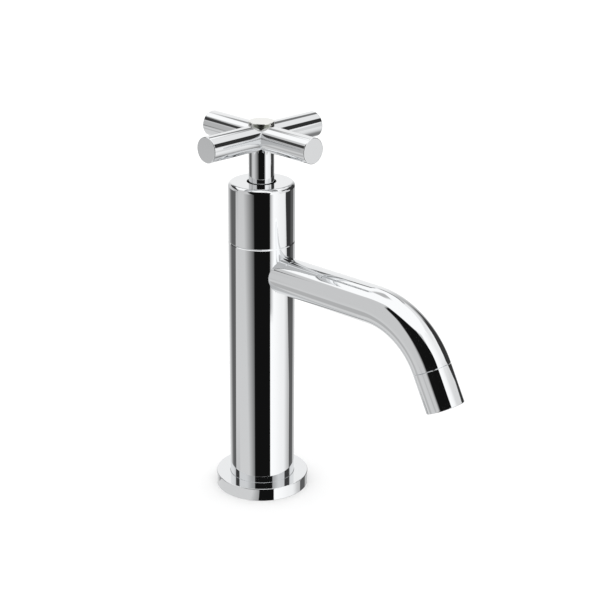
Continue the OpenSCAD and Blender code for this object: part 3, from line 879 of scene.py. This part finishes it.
def back_nut():
    """Hexagonal nut, its lower corners cut by a cone, with a plain bore over the thread."""
    shell = Shell()
    half_side = math.radians(30)
    flat_r = NUT_APOTHEM / math.cos(half_side) - NUT_CHAMFER_IN
    low, high = NUT_LOW.z, NUT_HIGH.z
    meet = math.acos(NUT_APOTHEM / flat_r)
    turns = []
    for start, end in ((-half_side, -meet), (-meet, meet), (meet, half_side)):
        turns += [start + (end - start) * i / NUT_STEPS for i in range(NUT_STEPS)]
    up = Vector((0, 0, 1))
    outs = []
    rings = {name: [] for name in ("top", "side_top", "side_low", "cone_out", "cone_in", "base")}
    for side in range(6):
        facing = 2 * half_side * side
        flat = Vector((math.cos(facing), math.sin(facing), 0))
        for turn in turns:
            a = facing + turn
            r = NUT_APOTHEM / math.cos(turn)
            near = min(r, flat_r)
            out = Vector((math.cos(a), math.sin(a), 0))
            edge = out * r + up * (low + (r - near) * NUT_CHAMFER_SLOPE)
            cone = (out - up / NUT_CHAMFER_SLOPE).normalized()
            outs.append(out)
            rings["top"].append((out * r + up * high, up))
            rings["side_top"].append((out * r + up * high, flat))
            rings["side_low"].append((edge, flat))
            rings["cone_out"].append((edge, cone))
            rings["cone_in"].append((out * near + up * low, cone))
            rings["base"].append((out * near + up * low, -up))
    # flat sides: each face takes its own side's normal at both ends
    for i in range(len(outs)):
        j = (i + 1) % len(outs)
        normal = rings["side_top"][i][1]
        points = [rings["side_top"][i][0], rings["side_top"][j][0]]
        points += [rings["side_low"][j][0], rings["side_low"][i][0]]
        shell.face(points, [normal] * 4)
    shell.strip(rings["cone_out"], rings["cone_in"])
    for name, z, tilt in (("top", high, 1), ("base", low, -1)):
        shell.strip(rings[name], [(out * NUT_BORE_R + up * z, up * tilt) for out in outs])
    shell.strip(*[[(out * NUT_BORE_R + up * z, -out) for out in outs] for z in (high, low)])
    shell.piece("nut_shell", BRASS, "tap_body", "brass", "back_nut")


# ---------- camera and studio

CAMERA_DISTANCE = 0.7378
CAMERA_HEIGHT = 0.3808
CAMERA_AZIMUTH = math.radians(-45.7)
CAMERA_YAW = math.radians(1.44)
CAMERA_PITCH = math.radians(21.0)
CAMERA_ROLL = math.radians(0.38)
CAMERA_LENS = 97.6


def camera():
    """Camera at the photographed viewing angle."""
    level = Vector((math.sin(CAMERA_YAW), math.cos(CAMERA_YAW), 0))
    right = Vector((math.cos(CAMERA_YAW), -math.sin(CAMERA_YAW), 0))
    lift = Vector((0, 0, 1))
    ahead = level * math.cos(CAMERA_PITCH) - lift * math.sin(CAMERA_PITCH)
    up = level * math.sin(CAMERA_PITCH) + lift * math.cos(CAMERA_PITCH)
    side = right * math.cos(CAMERA_ROLL) + up * math.sin(CAMERA_ROLL)
    top = up * math.cos(CAMERA_ROLL) - right * math.sin(CAMERA_ROLL)
    pose = Matrix((side, top, -ahead)).transposed().to_4x4()
    pose.translation = Vector((0, -CAMERA_DISTANCE, CAMERA_HEIGHT))
    data = bpy.data.cameras.new("camera")
    data.lens = CAMERA_LENS
    data.sensor_width = 36.0
    made = bpy.data.objects.new("camera", data)
    made.matrix_world = Matrix.Rotation(CAMERA_AZIMUTH, 4, "Z") @ pose
    bpy.context.scene.collection.objects.link(made)
    bpy.context.scene.camera = made


# ---------- what the chrome reflects
#
# Azimuths are in degrees from the photograph's camera, positive to its right; elevations are
# in degrees too; tones are display greys. A window is (low, high, softness low, softness high).

MIRROR = 0.80
PLAIN_STRENGTH = 1.25
FLOOR_HALF = 6.0
FLOOR_GREY = (0.92, 0.92, 0.92, 1)

# Pale card on the floor before the flange
CARD_IN_R = FLANGE_R + 0.1
CARD_OUT_R = FLANGE_R + 12.0
CARD_RISE = 0.02
CARD_START = -84.0
CARD_FADE = -16.2
CARD_END = -4.8
CARD_STEPS = 48

# Pale card beside the spout's end: its near azimuth, then its elevations and far azimuths
SPOUT_CARD_DISTANCE = 200.0
SPOUT_CARD_START = 72.0
SPOUT_CARD_ROWS = (
    (0.0, 117.0), (5.0, 110.0), (9.0, 104.0), (14.0, 100.0), (23.0, 102.0), (29.0, 107.0),
    (34.0, 118.0), (42.0, 128.0),
)

# Elevations at which the tops of the bonnet and of the flange show a second bounce
BONNET_SLOPE = (13.5, 17.7, 0.8, 0.4)
FLANGE_SLOPE = (24.5, 29.0, 0.5, 0.5)

# Second bounce between two arms: tone, window of azimuths, window of elevations
BETWEEN_ARMS = (
    (236, (0.5, 68.0, 1.0, 4.0), (-50.0, 41.0, 4.0, 2.0)),
    (192, (-70.0, -0.5, 4.0, 1.0), (-50.0, 41.0, 4.0, 2.0)),
    (44, (72.0, 100.0, 2.0, 4.0), (24.0, 46.0, 2.0, 2.0)),
    (270, (23.0, 80.0, 2.0, 3.0), (-12.0, 26.0, 2.0, 3.0)),
    (165, (36.0, 72.0, 4.0, 2.0), (42.0, 50.0, 1.0, 2.0)),
    (44, (104.0, 134.0, 4.0, 5.0), (27.0, 37.5, 2.0, 1.5)),
    (70, (-98.0, -74.0, 3.0, 2.0), (22.0, 46.0, 2.0, 2.0)),
)

# Second bounce between the column's foot and the flange's top: tone, window of azimuths
ROUND_FOOT = (
    (20, (-26.5, 37.5, 2.0, 2.0)),
    (64, (88.0, 118.0, 3.0, 5.0)),
    (62, (-112.0, -91.0, 3.0, 2.0)),
)


def step_up(tree, value, edge, soft):
    """0 below the edge and 1 above it; the edge may be a number or a socket."""
    if isinstance(edge, bpy.types.NodeSocket):
        low = tree.math("SUBTRACT", edge, soft)
        high = tree.math("ADD", edge, soft)
    else:
        low, high = edge - soft, edge + soft
    return tree.remap(value, low, high, 0.0, 1.0)


def step_down(tree, value, edge, soft):
    return tree.math("SUBTRACT", 1.0, step_up(tree, value, edge, soft))


def window(tree, value, low, high, soft_low, soft_high):
    rise = step_up(tree, value, low, soft_low)
    return tree.math("MULTIPLY", rise, step_down(tree, value, high, soft_high))


def off(tree, value, centre):
    """Distance of a value from a centre."""
    return tree.math("ABSOLUTE", tree.math("SUBTRACT", value, centre))


def bearing(tree, parts):
    """Azimuth in degrees, 0 towards -Y and positive towards +X."""
    return tree.math("DEGREES", tree.math(
        "ARCTAN2", parts["X"], tree.math("MULTIPLY", parts["Y"], -1.0)))


def shade(tone):
    """Light that a chrome surface shows as this display grey."""
    return grey(tone) / MIRROR


def lay(tree, under, tone, *masks):
    """Lays a tone over what is there, where all the masks are 1."""
    mask = masks[0]
    for other in masks[1:]:
        mask = tree.math("MULTIPLY", mask, other)
    value = tone if isinstance(tone, bpy.types.NodeSocket) else shade(tone)
    keep = tree.math("MULTIPLY", under, tree.math("SUBTRACT", 1.0, mask))
    return tree.math("MULTIPLY_ADD", mask, value, keep)


class Surround:
    """Light by direction round the part, built up by laying panels over one another."""

    def __init__(self, tree):
        self.tree = tree
        way = tree.add("ShaderNodeTexCoord").outputs["Generated"]
        turned = tree.add("ShaderNodeVectorRotate", {
            "Vector": way, "Angle": -CAMERA_AZIMUTH,
        }, rotation_type="Z_AXIS")
        parts = tree.add("ShaderNodeSeparateXYZ", {"Vector": turned.outputs[0]}).outputs
        self.azimuth = bearing(tree, parts)
        self.elevation = tree.math("DEGREES", tree.math("ARCSINE", parts["Z"]))
        self.aside = tree.math("ABSOLUTE", self.azimuth)
        self.light = self.rise(-28.0, -12.0, shade(203), shade(196))

    def across(self, *limits):
        """Mask over a window of azimuths."""
        return window(self.tree, self.azimuth, *limits)

    def level(self, *limits):
        """Mask over a window of elevations."""
        return window(self.tree, self.elevation, *limits)

    def turn(self, *ends):
        """A value that changes with the azimuth."""
        return self.tree.remap(self.azimuth, *ends)

    def rise(self, *ends):
        """A value that changes with the elevation."""
        return self.tree.remap(self.elevation, *ends)

    def lay(self, tone, *masks):
        self.light = lay(self.tree, self.light, tone, *masks)


def lay_walls(sky):
    """Walls brighter behind, duller low on the right, and the softbox on the right."""
    tree = sky.tree
    sky.lay(174, sky.across(-106.0, -87.0, 3.0, 2.0),
            step_down(tree, off(tree, sky.elevation, -24.0), 40.0, 3.0),
            step_up(tree, off(tree, sky.elevation, -22.0), 5.0, 3.0))
    sky.lay(222, step_up(tree, sky.aside, 158.0, 14.0))
    sky.lay(232, step_up(tree, sky.aside, 160.0, 8.0), step_up(tree, sky.elevation, -6.0, 6.0))
    sky.lay(184, sky.across(132.0, 164.0, 6.0, 8.0))
    sky.lay(120, sky.across(84.0, 165.0, 10.0, 10.0), step_down(tree, sky.elevation, -38.0, 10.0))
    # tall softbox, duller round the part's middle height
    near_tone = sky.turn(30.0, 82.0, shade(252), shade(238))
    fall = sky.turn(80.0, 108.0, 1.0, 0.60)
    sky.lay(tree.math("MULTIPLY", near_tone, fall), sky.across(23.5, 112.0, 1.0, 4.0),
            step_up(tree, sky.elevation, -38.0, 8.0))
    sky.lay(sky.turn(28.0, 40.0, shade(155), shade(240), False),
            sky.across(23.5, 41.0, 1.0, 1.0), sky.level(-21.6, -12.0, 0.4, 3.0))
    sky.lay(208, sky.across(68.0, 118.0, 14.0, 3.0), sky.level(-13.0, 22.0, 2.0, 5.0))


def lay_dark_cards(sky):
    """Dark cards at both sides, some with edges that lean."""
    tree = sky.tree
    # low wall behind on the left, sharp on its near side
    wall_edge = sky.rise(-26.0, -12.0, -108.0, -94.0, False)
    sky.lay(93, sky.turn(-154.0, -122.0, 0.0, 1.0),
            step_down(tree, sky.azimuth, wall_edge, 1.2), sky.level(-30.0, -9.0, 2.0, 2.0))
    # high card on the left
    card_low = sky.turn(-96.5, -91.0, 20.5, 13.0, False)
    card_top = sky.turn(-115.0, -97.0, 38.5, 28.5, False)
    sky.lay(58, sky.across(-152.0, -90.5, 3.0, 0.7), sky.level(card_low, card_top, 0.8, 0.8))
    # on the right a high card, one that leans back behind it, and a low one
    high_low = sky.turn(84.0, 93.0, 14.5, 11.5, False)
    high_top = sky.turn(98.0, 117.0, 37.0, 31.5, False)
    sky.lay(46, sky.across(78.0, 134.0, 2.0, 2.0), sky.level(high_low, high_top, 1.0, 1.0))
    lean = sky.rise(0.0, 12.0, 111.0, 97.0, False)
    sky.lay(52, sky.across(lean, 151.0, 2.0, 7.0), sky.level(-14.0, 26.0, 1.0, 6.0))
    low_edge = sky.rise(-24.0, -17.5, 112.0, 90.0, False)
    low_tone = tree.math("MAXIMUM", sky.turn(112.0, 124.0, shade(50), shade(84)),
                         sky.rise(-22.0, -19.0, shade(90), shade(48)))
    sky.lay(low_tone, sky.across(low_edge, 140.0, 1.5, 5.0), sky.level(-34.0, -13.5, 3.0, 0.5))


def lay_ceiling(sky):
    """Ceiling, which comes lower at the sides and behind, with thin dark beams behind."""
    tree = sky.tree
    brim = tree.remap(sky.aside, 72.0, 96.0, 55.5, 39.0, False)
    sky.lay(250, step_up(tree, sky.elevation, brim, 2.0))
    sky.lay(228, sky.across(84.0, 152.0, 4.0, 4.0), sky.level(37.0, 53.0, 1.0, 3.0))
    sky.lay(178, step_down(tree, sky.azimuth, -142.0, 5.0), sky.level(56.0, 72.0, 4.0, 4.0))
    beam = tree.math("ADD", sky.elevation, tree.math(
        "MULTIPLY", tree.math("SUBTRACT", sky.aside, 166.0), 0.45))
    sky.lay(112, sky.across(148.0, 175.0, 2.0, 3.0), window(tree, beam, 34.8, 40.4, 1.0, 1.0))
    sky.lay(150, sky.across(-168.0, -150.0, 3.0, 2.0), window(tree, beam, 35.4, 38.4, 0.8, 0.8))
    sky.lay(105, step_down(tree, sky.azimuth, -158.0, 3.0),
            window(tree, beam, 40.8, 43.4, 0.6, 0.6))


def lay_room(sky, shown):
    """Dark room behind the camera: soft flank on its left, sharp edges on the right."""
    tree = sky.tree
    left = -26.0
    for ends in ((-14.0, 4.0, 0.0, 9.0), (4.0, 34.0, 0.0, 14.0), (34.0, 44.0, 0.0, 16.0)):
        left = tree.math("SUBTRACT", left, sky.rise(*ends, False))
    flank_width = sky.rise(-27.0, -16.0, 22.0, 42.0, False)
    for ends in ((-14.5, -11.0, 0.0, 30.0), (0.0, 20.0, 0.0, 7.0)):
        flank_width = tree.math("SUBTRACT", flank_width, sky.rise(*ends))
    flank = tree.math("MULTIPLY", sky.rise(-28.0, -14.0, 0.72, 0.93),
                      sky.turn(tree.math("SUBTRACT", left, flank_width), left, 0.0, 1.0, False))
    corner = tree.math("POWER", sky.rise(28.0, 54.0, 0.0, 1.0, False), 2.5)
    right = tree.math("MULTIPLY_ADD", corner, -27.0, sky.rise(-22.0, -17.0, 29.1, 28.4))
    for ends in ((5.0, 19.0, 0.0, 3.0), (26.0, 40.0, 0.0, -2.4)):
        right = tree.math("ADD", right, sky.rise(*ends, False))
    below = step_down(tree, sky.elevation, 55.0, 1.5)
    sky.lay(14, flank, below, shown, step_down(tree, sky.azimuth, right, 1.0))
    sky.lay(17, below, shown, sky.across(left, right, 1.5, 1.0))


def lay_foot(sky, deep):
    """The same room as the flange's top mirrors it from the column's foot."""
    tree = sky.tree
    foot = lay(tree, sky.turn(-62.0, -30.0, shade(222), shade(172)),
               sky.turn(39.0, 64.0, shade(182), shade(222)),
               step_up(tree, sky.azimuth, 10.0, 1.0))
    for tone, limits in ROUND_FOOT:
        foot = lay(tree, foot, tone, sky.across(*limits))
    foot = lay(tree, foot, 232, step_up(tree, sky.aside, 122.0, 6.0))
    sky.lay(foot, deep, sky.level(*FLANGE_SLOPE))


def studio():
    """World: soft white for camera and matt surfaces, panels for reflections."""
    world = bpy.data.worlds.new("studio")
    world.use_nodes = True
    bpy.context.scene.world = world
    tree = Tree(world.node_tree)
    path = tree.add("ShaderNodeLightPath").outputs
    sky = Surround(tree)
    lay_walls(sky)
    lay_dark_cards(sky)
    lay_ceiling(sky)
    # a second bounce shows the room only along the low slopes of the bonnet's and flange's
    # tops; where two arms mirror each other it shows plain tones and the end of the stripes
    deep = tree.math("GREATER_THAN", path["Ray Depth"], 2.5)
    slopes = tree.math("ADD", sky.level(*BONNET_SLOPE), sky.level(*FLANGE_SLOPE))
    hidden = tree.math("MULTIPLY", deep, tree.math("SUBTRACT", 1.0, slopes))
    for tone, azimuths, elevations in BETWEEN_ARMS:
        sky.lay(tone, hidden, sky.across(*azimuths), sky.level(*elevations))
    lay_room(sky, tree.math("SUBTRACT", 1.0, hidden))
    lay_foot(sky, deep)
    panels = tree.add("ShaderNodeBackground", {"Color": sky.light, "Strength": 1.0})
    plain = tree.add("ShaderNodeBackground", {"Color": (1, 1, 1, 1), "Strength": PLAIN_STRENGTH})
    mixed = tree.add("ShaderNodeMixShader", {
        0: path["Is Glossy Ray"], 1: plain.outputs[0], 2: panels.outputs[0],
    })
    tree.add("ShaderNodeOutputWorld", {"Surface": mixed.outputs[0]})


def stage_mesh(name, material, points, faces):
    """A plain mesh object for the stage."""
    mesh = bpy.data.meshes.new(name)
    mesh.from_pydata(points, [], faces)
    mesh.materials.append(material)
    made = bpy.data.objects.new(name, mesh)
    bpy.context.scene.collection.objects.link(made)
    return made


def floor():
    """Pale floor at the deck's height; it can be seen through from below."""
    made, tree = new_material("floor_white")
    below = tree.add("ShaderNodeNewGeometry").outputs["Backfacing"]
    matt = tree.add("ShaderNodeBsdfDiffuse", {"Color": FLOOR_GREY})
    clear = tree.add("ShaderNodeBsdfTransparent")
    finish_material(tree, tree.add("ShaderNodeMixShader", {
        0: below, 1: matt.outputs[0], 2: clear.outputs[0],
    }))
    corners = [(x * FLOOR_HALF, y * FLOOR_HALF, 0) for x, y in ((-1, -1), (1, -1), (1, 1), (-1, 1))]
    plane = stage_mesh("floor", made, corners, [(0, 1, 2, 3)])
    plane.visible_glossy = False


def pale_card(name, material, rows, place):
    """A curved card through rows of (x, y, z) in millimetres; only mirrors see it."""
    points = [tuple(c * MM for c in point) for row in rows for point in row]
    width = len(rows[0])
    faces = []
    for row in range(len(rows) - 1):
        for low in range(row * width, (row + 1) * width - 1):
            faces.append((low, low + 1, low + width + 1, low + width))
    card = stage_mesh(name, material, points, faces)
    card.matrix_world = place @ Matrix.Rotation(CAMERA_AZIMUTH, 4, "Z")
    card.visible_camera = False
    card.visible_diffuse = False
    card.visible_shadow = False
    return card


def card_row(r, z, start, end):
    """Points at radius r and height z from one azimuth to another."""
    made = []
    for step in range(CARD_STEPS + 1):
        a = math.radians(start + (end - start) * step / CARD_STEPS)
        made.append((r * math.sin(a), -r * math.cos(a), z))
    return made


def glow(tree, light):
    finish_material(tree, tree.add("ShaderNodeEmission", {"Color": light, "Strength": 1.0}))


def floor_card():
    """Pale curved card on the floor before the flange; only the flange's side mirrors it."""
    made, tree = new_material("card_pale")
    parts = tree.add("ShaderNodeSeparateXYZ", {"Vector": object_place(tree)}).outputs
    glow(tree, tree.remap(bearing(tree, parts), CARD_FADE, CARD_END, shade(203), shade(150), False))
    rows = [card_row(r, CARD_RISE, CARD_START, CARD_END) for r in (CARD_OUT_R, CARD_IN_R)]
    card = pale_card("floor_card", made, rows, Matrix.Identity(4))


def spout_card():
    """Pale card beside the spout's end, which keeps the dark ones behind it out of the bend."""
    made, tree = new_material("card_bright")
    height = tree.add("ShaderNodeSeparateXYZ", {"Vector": object_place(tree)}).outputs["Z"]
    glow(tree, tree.remap(height, 0.04, 0.08, shade(214), shade(234)))
    rows = []
    for elevation, end in SPOUT_CARD_ROWS:
        up = math.radians(elevation)
        rows.append(card_row(SPOUT_CARD_DISTANCE * math.cos(up), SPOUT_CARD_DISTANCE * math.sin(up),
                             SPOUT_CARD_START, end))
    seam = outlet_place().translation * MM
    card = pale_card("spout_card", made, rows, Matrix.Translation(seam))


def dress_cad_nodes():
    """Gives every CAD node that is still shown the material of its slot."""
    for row in frame["record"]["subparts"]:
        mesh = frame["nodes"][row["node"]].data
        mesh.materials.clear()
        mesh.materials.append(SLOT_MATERIALS[row["material_slot"]])


base_flange()
base_gasket()
column()
bonnet()
spout_tube()
outlet_collar()
cross_handle()
index_cap()
inlet_tail()
flat_washer("soft_washer", "rubber_washer", RUBBER, "rubber", 0.3)
flat_washer("steel_washer", "clamp_washer", STEEL, "stainless_steel", 0.2)
back_nut()
dress_cad_nodes()
camera()
studio()
floor()
floor_card()
spout_card()
bpy.context.scene.view_settings.view_transform = "Standard"
